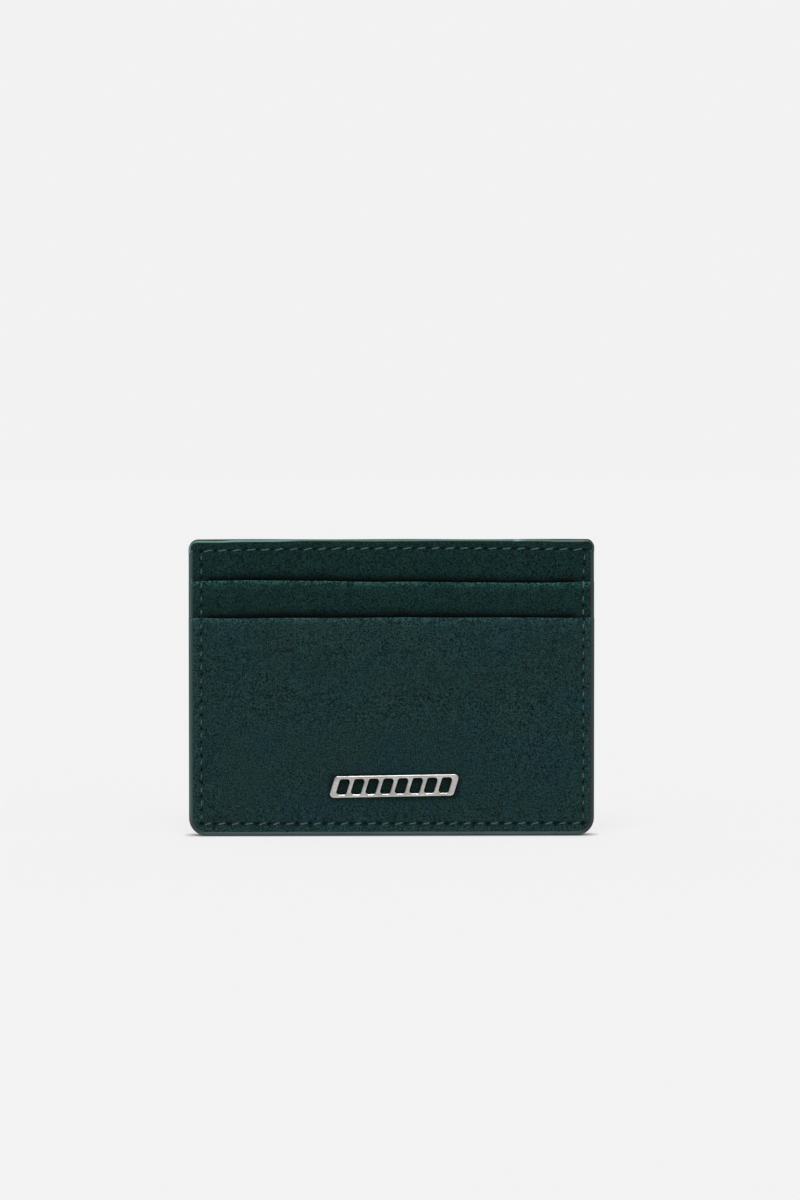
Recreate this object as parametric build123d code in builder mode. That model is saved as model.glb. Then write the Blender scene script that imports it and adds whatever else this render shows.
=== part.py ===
from build123d import *

import os
from math import cos, radians, sin, tan

# A flat suede card holder: a centre compartment with two stepped card slots on each face. It
# stands on its long bottom edge. X runs along the mouths, Z is up, the front faces -Y, and the
# origin is the middle of the bottom edge. Every layer of the front has a mirror twin on the
# back. Each slot stands eased open by the thickness of one bank card, and the pocket's margin
# beside and below it, pressed in the seams, holds it at that.

# Driving dimensions, in millimetres
width = 100.0
height = 73.0
upper_mouth = 62.7
lower_mouth = 53.7
bottom_radius = 4.5
top_radius = 2.6
edge_coat = 0.2
run_gap = 0.05
centre_gap = 0.8

# Thickness of each layer of one half, from the centre compartment outwards
layers = {
    "lining": 0.12,
    "stiffener": 0.20,
    "panel": 0.50,
    "upper_slot": 0.80,
    "upper_pocket": 0.45,
    "lower_slot": 0.80,
    "pocket_lining": 0.10,
    "lower_pocket": 0.55,
}
mouth_round = 0.2

# Margins that the seams press together, beside and under each opening
margin = 4.0
floor = 3.9
butt_gap = 0.2
stop_height = 3.0
stop_top = 12.6

# Stitching
seam_inset = 2.8
seam_rise = 3.1
seam_corner = 0.8
seam_top = 71.6
top_seam_drop = 2.4
top_seam_bow = 0.5
top_seam_reach = 45.5
stop_seam_rise = 11.1
stop_seam_reach = 44.0
stitch_pitch = 3.35
top_stitch_pitch = 3.5
thread_radius = 0.2
top_thread_radius = 0.12
thread_bend = 0.4
thread_sink = 0.02
thread_sides = 6
lock_gap = 0.05

# Emblem, a pierced bar held by two bent legs over a thin backing plate
emblem_x = 0.6
emblem_z = 12.5
emblem_tilt = 1.0
emblem_length = 32.6
emblem_height = 5.4
emblem_depth = 1.0
emblem_corner = 1.0
emblem_bevel = 0.2
emblem_lean = 72.0
window_count = 8
window_pitch = 3.6
window_width = 2.5
window_height = 3.7
window_corner = 0.6
leg_spacing = 21.6
leg_height = 1.2
leg_thickness = 0.4
tab_length = 2.6
tab_depth = 0.18
backing_length = 27.0
backing_height = 3.0
backing_corner = 0.8
backing_depth = 0.12
backing_play = 0.1
slit_play = 0.05

# Distance of each layer's inner face from the middle plane
starts = {}
reach = centre_gap / 2
for layer, thickness in layers.items():
    starts[layer] = reach
    reach += thickness
half_depth = reach
panel_face = starts["panel"] + layers["panel"]
upper_face = starts["upper_pocket"] + layers["upper_pocket"]
lining_face = starts["lining"]
clear_width = width - 2 * edge_coat - 2 * margin
layer_top = height - edge_coat
recess_depth = backing_depth + tab_depth
seam_x = width / 2 - seam_inset
top_seam_z = height - top_seam_drop


def face_plane(distance):
    """The plane parallel to the front, that far in front of the middle; its normal is -Y."""
    return Plane.XZ.offset(distance)


def face_reach(z):
    """How far the front face stands from the middle plane at a height."""
    if z < lower_mouth:
        return half_depth
    if z < upper_mouth:
        return upper_face
    return panel_face


def draw_outline(top, inset=edge_coat, corner=0.0):
    """Draws the holder's outline up to a mouth, with rounded bottom corners."""
    with Locations((0, inset)):
        Rectangle(width - 2 * inset, top - inset, align=(Align.CENTER, Align.MIN))
    fillet(vertices().group_by(Axis.Y)[0], bottom_radius - inset)
    if corner:
        fillet(vertices().group_by(Axis.Y)[-1], corner)


def sheet(layer, top, corner=0.0, rounded_mouth=False):
    """A flat layer with the holder's outline. A pocket's mouth is a rounded edge."""
    with BuildPart() as piece:
        with BuildSketch(face_plane(starts[layer])):
            draw_outline(top, corner=corner)
        extrude(amount=layers[layer])
        if rounded_mouth:
            fillet(piece.edges().filter_by(Axis.X).group_by(Axis.Z)[-1], mouth_round)
    return piece


def full_sheet(layer):
    """A flat layer that reaches the top edge."""
    return sheet(layer, layer_top, top_radius - edge_coat)


def margin_strips(start, depth, top, corner=0.0, stop=False):
    """The left, right and bottom margins of one opening, and a stop that the card stands on."""
    side_x = clear_width / 2 + margin / 2
    with BuildPart() as strips:
        with BuildSketch(face_plane(start)):
            draw_outline(top, corner=corner)
            with Locations((0, floor)):
                Rectangle(
                    clear_width, height, align=(Align.CENTER, Align.MIN), mode=Mode.SUBTRACT
                )
            with Locations((-side_x, floor), (side_x, floor)):
                Rectangle(
                    2 * margin, butt_gap, align=(Align.CENTER, Align.MIN), mode=Mode.SUBTRACT
                )
            if stop:
                with Locations((0, stop_top)):
                    Rectangle(
                        clear_width - 2 * butt_gap,
                        stop_height,
                        align=(Align.CENTER, Align.MAX),
                    )
        extrude(amount=depth)
    return strips


def seam_spots(path, pitch):
    """Evenly spaced stitches along a seam: the middle of each and the way it runs."""
    count = round(path.length / pitch)
    steps = [(i + 0.5) / count for i in range(count)]
    return [(path.position_at(u), path.tangent_at(u)) for u in steps]


def staple(pitch, leg, radius):
    """One stitch, flat on top along X, with a leg along -Z through a needle hole at each end."""
    half_run = pitch / 2 - radius - lock_gap
    corners = [(-half_run, 0, -leg), (-half_run, 0, 0), (half_run, 0, 0), (half_run, 0, -leg)]
    with BuildPart() as stitch:
        with BuildLine() as path:
            FilletPolyline(*corners, radius=min(thread_bend, leg - lock_gap))
        with BuildSketch(Plane(origin=corners[0], z_dir=(0, 0, 1))):
            RegularPolygon(radius, thread_sides)
        sweep(path=path.wire())
    return stitch.part


def add_stitches(spots, pitch, crown, leg_end, radius=thread_radius):
    """Adds a row of stitches whose flat runs lie at crown, and whose legs end at leg_end."""
    outward = -1 if crown > leg_end else 1
    places = [
        Plane(origin=(at.X, -crown, at.Z), x_dir=(way.X, 0, way.Z), z_dir=(0, outward, 0))
        for at, way in spots
    ]
    with Locations(*places):
        add(staple(pitch, abs(crown - leg_end), radius))


def write(piece, name):
    """Labels a finished piece and writes its STEP file."""
    piece.part.label = name
    export_step(piece.part, f"parts/{name}.step")


def write_pair(piece, name):
    """Writes a front piece, and its mirror image as the back's twin."""
    write(piece, f"front_{name}")
    with BuildPart() as twin:
        mirror(piece.part, about=Plane.XZ)
    write(twin, f"back_{name}")


os.makedirs("parts", exist_ok=True)

# Layers that are the same on the front and the back
write_pair(full_sheet("lining"), "lining")
write_pair(full_sheet("stiffener"), "stiffener")
write_pair(full_sheet("panel"), "panel")
write_pair(sheet("upper_pocket", upper_mouth, rounded_mouth=True), "upper_pocket")
write_pair(sheet("pocket_lining", lower_mouth - mouth_round), "lower_pocket_lining")

# Seam margins: each opening's own, and the stop that the upper slot's card stands on
upper_margin = margin_strips(
    starts["upper_slot"], layers["upper_slot"], upper_mouth - mouth_round, stop=True
)
write_pair(upper_margin, "upper_slot_margin")
lower_margin = margin_strips(
    starts["lower_slot"], layers["lower_slot"], lower_mouth - mouth_round
)
write_pair(lower_margin, "lower_slot_margin")
centre_margin = margin_strips(-centre_gap / 2, centre_gap, layer_top, top_radius - edge_coat)
write(centre_margin, "centre_margin")

# Lower pockets: plain on the back, and on the front pared and slit for the emblem's legs
back_lower_pocket = sheet("lower_pocket", lower_mouth, rounded_mouth=True)
with BuildPart() as turned_pocket:
    mirror(back_lower_pocket.part, about=Plane.XZ)
write(turned_pocket, "back_lower_pocket")

recess_floor = starts["lower_pocket"] + recess_depth


def emblem_plane(distance):
    """The emblem's own plane, tilted on the face, that far in front of the middle."""
    tilt = radians(emblem_tilt)
    return Plane(
        origin=(emblem_x, -distance, emblem_z),
        x_dir=(cos(tilt), 0, sin(tilt)),
        z_dir=(0, -1, 0),
    )


def leaning_bar(length, bar_height, corner):
    """A rounded bar whose ends lean to the right, as a sketch about its centre."""
    lean = bar_height / 2 / tan(radians(emblem_lean))
    half = length / 2
    with BuildSketch() as bar:
        Polygon(
            (-half - lean, -bar_height / 2),
            (half - lean, -bar_height / 2),
            (half + lean, bar_height / 2),
            (-half + lean, bar_height / 2),
        )
        fillet(bar.vertices(), corner)
    return bar.sketch


def draw_legs(play=0.0):
    """Draws the two legs' sections."""
    with GridLocations(leg_spacing, 0, 2, 1):
        Rectangle(leg_thickness + 2 * play, leg_height + 2 * play)


with BuildPart() as front_lower_pocket:
    add(sheet("lower_pocket", lower_mouth, rounded_mouth=True).part)
    with BuildSketch(emblem_plane(starts["lower_pocket"])):
        Rectangle(backing_length + 2 * backing_play, backing_height + 2 * backing_play)
    extrude(amount=recess_depth, mode=Mode.SUBTRACT)
    with BuildSketch(emblem_plane(starts["lower_pocket"])):
        draw_legs(slit_play)
    extrude(amount=layers["lower_pocket"], mode=Mode.SUBTRACT)
write(front_lower_pocket, "front_lower_pocket")

with BuildPart() as emblem_backing:
    with BuildSketch(emblem_plane(recess_floor - backing_depth)):
        RectangleRounded(backing_length, backing_height, backing_corner)
        with GridLocations(leg_spacing, 0, 2, 1):
            Rectangle(
                leg_thickness + 2 * slit_play, leg_height + 2 * slit_play, mode=Mode.SUBTRACT
            )
    extrude(amount=backing_depth)
write(emblem_backing, "emblem_backing")

overhang = emblem_height / tan(radians(emblem_lean))
bar = leaning_bar(emblem_length - overhang, emblem_height, emblem_corner)
window = leaning_bar(window_width, window_height, window_corner)
with BuildPart() as emblem:
    with BuildSketch(emblem_plane(half_depth)):
        add(bar)
        with GridLocations(window_pitch, 0, window_count, 1):
            add(window, mode=Mode.SUBTRACT)
    extrude(amount=emblem_depth)
    chamfer(emblem.faces().sort_by(Axis.Y)[0].edges(), emblem_bevel)
    with BuildSketch(emblem_plane(recess_floor - recess_depth)):
        draw_legs()
    extrude(amount=half_depth - recess_floor + recess_depth)
    with BuildSketch(emblem_plane(recess_floor - recess_depth)):
        with GridLocations(leg_spacing - tab_length, 0, 2, 1):
            Rectangle(tab_length, leg_height)
    extrude(amount=tab_depth)
write(emblem, "emblem")

# Seams. The perimeter seam goes through every layer, and its two threads lock in the middle
with BuildLine(Plane.XZ) as perimeter:
    FilletPolyline(
        (-seam_x, seam_top),
        (-seam_x, seam_rise),
        (seam_x, seam_rise),
        (seam_x, seam_top),
        radius=seam_corner,
    )
with BuildPart() as needle_thread:
    perimeter_spots = seam_spots(perimeter.wire(), stitch_pitch)
    for face in (half_depth, upper_face, panel_face):
        spots = [spot for spot in perimeter_spots if face_reach(spot[0].Z) == face]
        add_stitches(spots, stitch_pitch, face - thread_sink - thread_radius, lock_gap)
write(needle_thread, "perimeter_needle_thread")
with BuildPart() as bobbin_thread:
    mirror(needle_thread.part, about=Plane.XZ)
write(bobbin_thread, "perimeter_bobbin_thread")

# The top seams hold each panel to its lining, along a shallow arc under the top edge
with BuildLine(Plane.XZ) as top_line:
    ThreePointArc(
        (-top_seam_reach, top_seam_z - top_seam_bow),
        (0, top_seam_z),
        (top_seam_reach, top_seam_z - top_seam_bow),
    )
top_spots = seam_spots(top_line.wire(), top_stitch_pitch)
top_lock = (lining_face + panel_face) / 2
with BuildPart() as top_needle_thread:
    add_stitches(
        top_spots,
        top_stitch_pitch,
        panel_face - thread_sink - top_thread_radius,
        top_lock + lock_gap,
        top_thread_radius,
    )
write_pair(top_needle_thread, "top_needle_thread")
with BuildPart() as top_bobbin_thread:
    add_stitches(
        top_spots,
        top_stitch_pitch,
        lining_face + top_thread_radius,
        top_lock,
        top_thread_radius,
    )
write_pair(top_bobbin_thread, "top_bobbin_thread")

# The stop seams hold each upper pocket to its panel, under the card that stands there
with BuildLine(Plane.XZ) as stop_line:
    Line((-stop_seam_reach, stop_seam_rise), (stop_seam_reach, stop_seam_rise))
stop_spots = seam_spots(stop_line.wire(), stitch_pitch)
stop_lock = (starts["panel"] + upper_face) / 2
with BuildPart() as stop_seam_thread:
    add_stitches(stop_spots, stitch_pitch, upper_face - thread_radius, stop_lock + lock_gap)
    add_stitches(stop_spots, stitch_pitch, starts["panel"] + thread_radius, stop_lock)
write_pair(stop_seam_thread, "stop_seam_thread")

# Edge paint. The sides and the bottom are coated in five runs, across the whole stack
corner_x = width / 2 - bottom_radius
with BuildPart() as edge_paint:
    for top, face in (
        (lower_mouth, half_depth),
        (upper_mouth, upper_face),
        (height - top_radius, panel_face),
    ):
        with BuildSketch(Plane.XZ):
            draw_outline(top, inset=0.0)
            with BuildSketch(mode=Mode.PRIVATE) as inside:
                draw_outline(height)
            add(inside.sketch, mode=Mode.SUBTRACT)
            with Locations((0, bottom_radius)):
                Rectangle(2 * width, run_gap, mode=Mode.SUBTRACT)
            with GridLocations(2 * corner_x, 0, 2, 1):
                Rectangle(run_gap, bottom_radius, mode=Mode.SUBTRACT)
        extrude(amount=face, both=True)
write(edge_paint, "edge_paint")

with BuildPart() as top_edge_paint:
    with BuildSketch(face_plane(lining_face)):
        draw_outline(height, inset=0.0, corner=top_radius)
        with BuildSketch(mode=Mode.PRIVATE) as inside:
            draw_outline(layer_top, corner=top_radius - edge_coat)
        add(inside.sketch, mode=Mode.SUBTRACT)
        with Locations((0, height - top_radius + run_gap)):
            Rectangle(width, top_radius, align=(Align.CENTER, Align.MIN), mode=Mode.INTERSECT)
    extrude(amount=panel_face - lining_face)
write_pair(top_edge_paint, "top_edge_paint")
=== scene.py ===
from math import cos, hypot, pi, radians, sin, tan, tau

import bmesh
import bpy
import numpy as np
from mathutils import Matrix, Vector


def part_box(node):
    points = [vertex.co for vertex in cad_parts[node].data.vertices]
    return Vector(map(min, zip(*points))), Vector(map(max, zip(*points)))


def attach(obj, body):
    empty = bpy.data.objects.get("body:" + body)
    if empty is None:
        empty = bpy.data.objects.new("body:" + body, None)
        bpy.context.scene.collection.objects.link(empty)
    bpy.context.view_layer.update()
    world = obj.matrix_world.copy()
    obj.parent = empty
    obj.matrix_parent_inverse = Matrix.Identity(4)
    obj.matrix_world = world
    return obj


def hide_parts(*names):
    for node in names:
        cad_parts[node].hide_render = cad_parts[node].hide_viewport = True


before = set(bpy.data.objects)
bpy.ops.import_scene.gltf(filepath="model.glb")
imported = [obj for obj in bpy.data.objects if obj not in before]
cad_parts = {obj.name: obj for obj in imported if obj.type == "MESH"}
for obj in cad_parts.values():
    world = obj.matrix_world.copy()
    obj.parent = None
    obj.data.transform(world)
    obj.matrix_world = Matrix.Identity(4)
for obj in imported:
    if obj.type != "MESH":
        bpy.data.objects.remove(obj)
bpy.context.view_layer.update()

MM = 0.001
rng = np.random.default_rng(7)

# The holder's outline and layers, from the frame
half_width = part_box("edge_paint")[1].x
top_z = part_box("front_top_edge_paint")[1].z
upper_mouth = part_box("front_upper_pocket")[1].z
lower_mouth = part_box("front_lower_pocket")[1].z
coat = half_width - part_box("front_panel")[1].x
sheet_half = half_width - coat
sheet_top = top_z - coat
bottom_radius = 4.5 * MM - coat
top_left_radius = 2.4 * MM - coat
top_right_radius = 1.8 * MM - coat


def layer(node):
    """A front layer's inner and outer distance from the middle plane."""
    low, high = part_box(node)
    return -high.y, -low.y


# How the leather lies: pressed at the rim, crowned towards the mouths, rolled at each lip
RIM_PRESS = 0.2
RIM_WIDTH = 9 * MM
LIP_HEIGHT = 1.1 * MM
EDGE_ROUND = 0.22 * MM
EDGE_WIDTH = 0.9 * MM
GROOVE_DEPTH = 0.14 * MM
GROOVE_WIDTH = 0.5 * MM
HOLE_DEPTH = 0.4 * MM
LEAST_THICKNESS = 0.08 * MM
CROWN_HALF_WIDTH = 46 * MM
CROWN_FOOT = 20 * MM
CROWN_TOP = 52 * MM
FLARE_DROP = 5 * MM

# The seams: their lines on the face, and their needle holes
SEAM_LEFT = -46.88 * MM
SEAM_RIGHT = 47.25 * MM
SEAM_BOTTOM = 3.1 * MM
SEAM_TOP = 70.3 * MM
TOP_BOW = 0.5 * MM
TOP_RISE = 0.3 * MM
TOP_DRIFT = 0.4 * MM
DRIFT_START = 62 * MM
DRIFT_END = 70 * MM
GROOVE_OVERRUN = 0.3 * MM
BOTTOM_STITCHES = 28
SIDE_STITCHES = 20
TOP_STITCHES = 27

# The grid of a stitched face: columns to a stitch, and rows as shares of a side stitch
STEPS = 6
ROW_SHARES = (0, 0.06, 0.2, 0.4, 0.6, 0.8, 0.94)


def smooth(low, high, value):
    """A smooth step from 0 at low to 1 at high."""
    t = np.clip((value - low) / (high - low), 0, 1)
    return t * t * (3 - 2 * t)


def bell(value, middle, width):
    """A bell curve of height 1."""
    return np.exp(-(((value - middle) / width) ** 2))


def rim_distance(x, z):
    """How far a point is inside the sides and the rounded bottom of a layer."""
    side = sheet_half - np.abs(x)
    a = np.maximum(bottom_radius - side, 0)
    b = np.maximum(bottom_radius - (z - coat), 0)
    near_corner = (a > 0) | (b > 0)
    return np.where(near_corner, bottom_radius - np.hypot(a, b), np.minimum(side, z - coat))


def press(x, z):
    """How far the stack is pressed together near the rim, as a factor."""
    return 1 - RIM_PRESS * (1 - smooth(0, RIM_WIDTH, rim_distance(x, z)))


def right_drift(z):
    """The right seam wanders towards the edge near the top."""
    return TOP_DRIFT * smooth(DRIFT_START, DRIFT_END, z)


def top_seam(x):
    """The height of the top seam, which bows up in the middle and rises to the right."""
    share = x / SEAM_RIGHT
    return SEAM_TOP + TOP_BOW * (1 - share**2) + TOP_RISE * (share + 1) / 2


side_pitch = (SEAM_TOP - SEAM_BOTTOM) / SIDE_STITCHES
bottom_pitch = (SEAM_RIGHT - SEAM_LEFT) / BOTTOM_STITCHES
top_pitch = (SEAM_RIGHT + TOP_DRIFT - SEAM_LEFT) / TOP_STITCHES


def side_holes(x_of):
    """The needle holes of a side seam, from the bottom up."""
    heights = [SEAM_BOTTOM + i * side_pitch for i in range(SIDE_STITCHES + 1)]
    return [(x_of(z), z) for z in heights]


left_holes = side_holes(lambda z: SEAM_LEFT)
right_holes = side_holes(lambda z: SEAM_RIGHT + right_drift(z))
bottom_holes = [(SEAM_LEFT + i * bottom_pitch, SEAM_BOTTOM) for i in range(BOTTOM_STITCHES + 1)]
top_holes = [
    (x, top_seam(x)) for x in (SEAM_LEFT + i * top_pitch for i in range(TOP_STITCHES + 1))
]
# Each row of holes, and how far a needle hole is dragged open along x and z
hole_rows = (
    (left_holes + right_holes, 0.26 * MM, 0.34 * MM),
    (bottom_holes, 0.62 * MM, 0.26 * MM),
    (top_holes, 0.42 * MM, 0.22 * MM),
)


def pits(x, z):
    """The needle holes, as 1 at the middle of each and 0 away from them."""
    depth = np.zeros(np.shape(x))
    for holes, wide, tall in hole_rows:
        for hx, hz in holes:
            near = (np.abs(x - hx) < 3 * wide) & (np.abs(z - hz) < 3 * tall)
            depth[near] += np.exp(-(((x[near] - hx) / wide) ** 2) - ((z[near] - hz) / tall) ** 2)
    return np.minimum(depth, 1)


def seam_relief(x, z, with_top):
    """How far the surface is drawn in by the seams' grooves and needle holes."""
    foot = SEAM_BOTTOM - GROOVE_OVERRUN
    lines = [
        np.where(z > foot, np.abs(x - SEAM_LEFT), 1),
        np.where(z > foot, np.abs(x - SEAM_RIGHT - right_drift(z)), 1),
        np.where((x > SEAM_LEFT) & (x < SEAM_RIGHT), np.abs(z - SEAM_BOTTOM), 1),
    ]
    if with_top:
        lines.append(np.abs(z - top_seam(x)))
    return GROOVE_DEPTH * bell(np.minimum.reduce(lines), 0, GROOVE_WIDTH) + HOLE_DEPTH * pits(x, z)


# Waves in the leather: radians per metre along x and along z, and height in mm
WAVES = ((61, 23, 0.030), (-37, 71, 0.025), (143, -97, 0.014), (211, 167, 0.010))
WAVES_START = 12 * MM


def undulation(x, z, phase):
    """The slow, shallow waves of leather that has been handled."""
    return MM * sum(
        size * np.sin(a * x + b * z + phase * (i + 1)) for i, (a, b, size) in enumerate(WAVES)
    )


def crown(x, z, height):
    """How far a pocket stands out between its seams, most at the mouth."""
    across = 1 - np.minimum(np.abs(x) / CROWN_HALF_WIDTH, 1) ** 3
    return height * across * smooth(CROWN_FOOT, CROWN_TOP, z)


def to_outline(x, z, rounded_top):
    """Moves a point of a square-cornered sheet onto the sheet with rounded corners."""
    x, z = np.array(x, float), np.array(z, float)
    corners = [(bottom_radius, coat, 1)]
    if rounded_top:
        corners.append((np.where(x < 0, top_left_radius, top_right_radius), sheet_top, -1))
    for radius, level, up in corners:
        a = np.clip((np.abs(x) - (sheet_half - radius)) / radius, 0, 1)
        b = np.clip((radius - up * (z - level)) / radius, 0, 1)
        both = (a > 0) & (b > 0)
        dx = radius * (a - a * np.sqrt(1 - b**2 / 2))
        dz = radius * (b - b * np.sqrt(1 - a**2 / 2))
        x = np.where(both, x - np.sign(x) * dx, x)
        z = np.where(both, z + up * dz, z)
    return x, z


class Layer:
    """One leather or cloth layer: its faces as distances from the middle plane."""

    def __init__(self, node, crown_height=0.0, relief=None, phase=0.0, lip=None, flare=0.0):
        self.inner_face, self.outer_face = layer(node)
        self.crown_height = crown_height
        self.relief = relief
        self.phase = phase
        self.lip = lip
        self.flare = flare

    def lift(self, x, z):
        """The crown, and the mouth's own flare where cards have eased it open."""
        y = crown(x, z, self.crown_height)
        if self.lip is not None:
            across = 1 - np.minimum(np.abs(x) / CROWN_HALF_WIDTH, 1) ** 4
            y = y + self.flare * across * smooth(-FLARE_DROP, 0, z - self.lip(x))
        return y

    def inner(self, x, z):
        return self.inner_face * press(x, z) + self.lift(x, z)

    def outer(self, x, z):
        y = self.outer_face * press(x, z) + self.lift(x, z)
        if self.relief is not None:
            y = y + undulation(x, z, self.phase) * smooth(0, WAVES_START, rim_distance(x, z))
            y = y - seam_relief(x, z, self.relief == "panel")
            y = y - EDGE_ROUND * (1 - smooth(0, EDGE_WIDTH, rim_distance(x, z)))
            y = np.maximum(y, self.inner(x, z) + LEAST_THICKNESS)
        return y


def own_object(name, mesh, material, weld=None):
    """Makes an object of a mesh, shaded smooth, with its normals outwards.

    weld is how near two points are that become one.
    """
    bm = bmesh.new()
    bm.from_mesh(mesh)
    if weld is not None:
        bmesh.ops.remove_doubles(bm, verts=bm.verts, dist=weld)
    bmesh.ops.recalc_face_normals(bm, faces=bm.faces)
    bm.to_mesh(mesh)
    bm.free()
    for polygon in mesh.polygons:
        polygon.use_smooth = True
    mesh.materials.append(material)
    piece = bpy.data.objects.new(name, mesh)
    bpy.context.scene.collection.objects.link(piece)
    return piece


def link(name, vertices, faces, material):
    """Makes an object from vertices and faces."""
    mesh = bpy.data.meshes.new(name)
    mesh.from_pydata([tuple(v) for v in vertices], [], faces)
    mesh.update()
    return own_object(name, mesh, material)


def swept(sections):
    """Vertices and faces of a closed body through ring-shaped sections, capped at both ends."""
    count = len(sections[0])
    vertices = [point for section in sections for point in section]
    faces = []
    for i in range(len(sections) - 1):
        for j in range(count):
            k = (j + 1) % count
            faces.append((i * count + j, i * count + k, (i + 1) * count + k, (i + 1) * count + j))
    faces.append(tuple(range(count)))
    faces.append(tuple(range((len(sections) - 1) * count, len(sections) * count)))
    return vertices, faces


# The rolled lip: its steps outside and inside, and the share of the thickness that each takes
OUTER_STEPS = 8
INNER_STEPS = 4
OUTER_SHARE = 0.6
INNER_SHARE = 0.4
# How far down the inside's roll reaches, as a share of the outside's
INNER_DROP = 0.3
# How far below the lip the rows bend to follow the mouth
FOLLOW_HEIGHT = 8 * MM
# The inner face keeps one row in so many
INNER_ROW_EVERY = 4


def sheet_grid(columns, rows, inner, outer, lip, side, rounded_top=False, soft_lip=True):
    """The vertices and faces of one closed sheet.

    columns and rows are the outer face's grid lines. lip gives the mouth's height along x, and
    the rows end below it in a rolled edge. side is -1 for the front and 1 for the back.
    """
    columns, rows = np.array(columns), np.array(rows)
    picks = list(range(0, len(rows) - 1, INNER_ROW_EVERY)) + [len(rows) - 1]
    roll = []
    if soft_lip:
        for i in range(1, OUTER_STEPS + 1):
            angle = pi / 2 * i / OUTER_STEPS
            roll.append((LIP_HEIGHT * (1 - sin(angle)), 1 - OUTER_SHARE * (1 - cos(angle))))
        for i in range(INNER_STEPS - 1, 0, -1):
            angle = pi / 2 * i / INNER_STEPS
            drop = INNER_DROP * LIP_HEIGHT * (1 - sin(angle))
            roll.append((drop, INNER_SHARE * (1 - cos(angle))))
    lip_line = lip(columns)
    base_line = lip_line - (LIP_HEIGHT if soft_lip else 0)
    top_row = rows[-1]
    loop = []
    for z in rows:
        follow = smooth(top_row - FOLLOW_HEIGHT, top_row, z)
        loop.append((columns, z + follow * (base_line - top_row), np.ones(len(columns))))
    for drop, share in roll:
        loop.append((columns, lip_line - drop, np.full(len(columns), share)))
    for i in reversed(picks):
        loop.append((columns, loop[i][1], np.zeros(len(columns))))
    x = np.array([row[0] for row in loop])
    z = np.array([row[1] for row in loop])
    share = np.array([row[2] for row in loop])
    near, far = inner(x, z), outer(x, z)
    y = near + share * (far - near)
    x, z = to_outline(x, z, rounded_top)
    vertices = np.stack([x, side * y, z], axis=-1).reshape(-1, 3)
    count, width = len(loop), len(columns)
    faces = []
    for i in range(count):
        k = (i + 1) % count
        for j in range(width - 1):
            faces.append((i * width + j, i * width + j + 1, k * width + j + 1, k * width + j))
    first_inner = len(rows) + len(roll)
    for j in (0, width - 1):
        for n in range(len(picks) - 1):
            low_pick, high_pick = picks[n], picks[n + 1]
            inner_low = first_inner + len(picks) - 1 - n
            ring = list(range(low_pick, high_pick + 1)) + [inner_low - 1, inner_low]
            faces.append([i * width + j for i in ring])
        if roll:
            ring = [len(rows) - 1, *range(len(rows), len(rows) + len(roll)), first_inner]
            faces.append([i * width + j for i in ring])
    return vertices, faces


# The nap's tone: paler towards the rim, a painted highlight at the very edge, and painted shade over a
# slot and in a needle hole
RIM_TONE = 0.22
RIM_TONE_ENDS = (1.2 * MM, 3.4 * MM)
EDGE_HIGHLIGHT = 0.4
EDGE_HIGHLIGHT_ENDS = (0.5 * MM, 1.1 * MM)
SLOT_SHADE = 0.74
SLOT_SHADE_AT_SIDES = 0.2
SLOT_SHADE_HEIGHT = 1.35 * MM
SLOT_ENDS = (44 * MM, 47 * MM)
HOLE_SHADE = 0.92
HOLE_SPREAD = 1.7
# The right end of the holder falls into shade across these, and so its edge is less pale
RIGHT_SHADE = (47 * MM, 49 * MM)
RIGHT_EDGE_LOSS = 0.7


def nap_light_and_shade(x, z, below):
    """The nap's painted light and shade, and its paleness towards the rim. below is the mouth of the
    next layer out, or None.
    """
    depth = rim_distance(x, z)
    tone = 1 + RIM_TONE * (1 - smooth(*RIM_TONE_ENDS, depth))
    # A painted highlight along the very edge, weaker where the right end falls into shade
    lit = 1 - RIGHT_EDGE_LOSS * smooth(*RIGHT_SHADE, x)
    tone = tone * (1 + EDGE_HIGHLIGHT * lit * (1 - smooth(*EDGE_HIGHLIGHT_ENDS, depth)))
    # Painted shade over the slot, just above the mouth of the next layer out
    if below is not None:
        over = np.maximum(z - below(x), 0)
        ragged = 1 + 0.22 * np.sin(120 * x + 1) * np.sin(47 * x) + 0.1 * np.sin(640 * x)
        shade = SLOT_SHADE_AT_SIDES + SLOT_SHADE * (1 - smooth(*SLOT_ENDS, np.abs(x)))
        tone = tone * (1 - shade * np.exp(-((over / (SLOT_SHADE_HEIGHT * ragged)) ** 2)))
    # Painted shade in the needle holes
    return tone * (1 - HOLE_SHADE * np.minimum(HOLE_SPREAD * pits(x, z), 1))


def merge(parts):
    """Joins several (vertices, faces) into one."""
    vertices, faces, start = [], [], 0
    for more, quads in parts:
        vertices.extend(more)
        faces.extend([[i + start for i in quad] for quad in quads])
        start += len(more)
    return vertices, faces


# Materials


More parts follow.
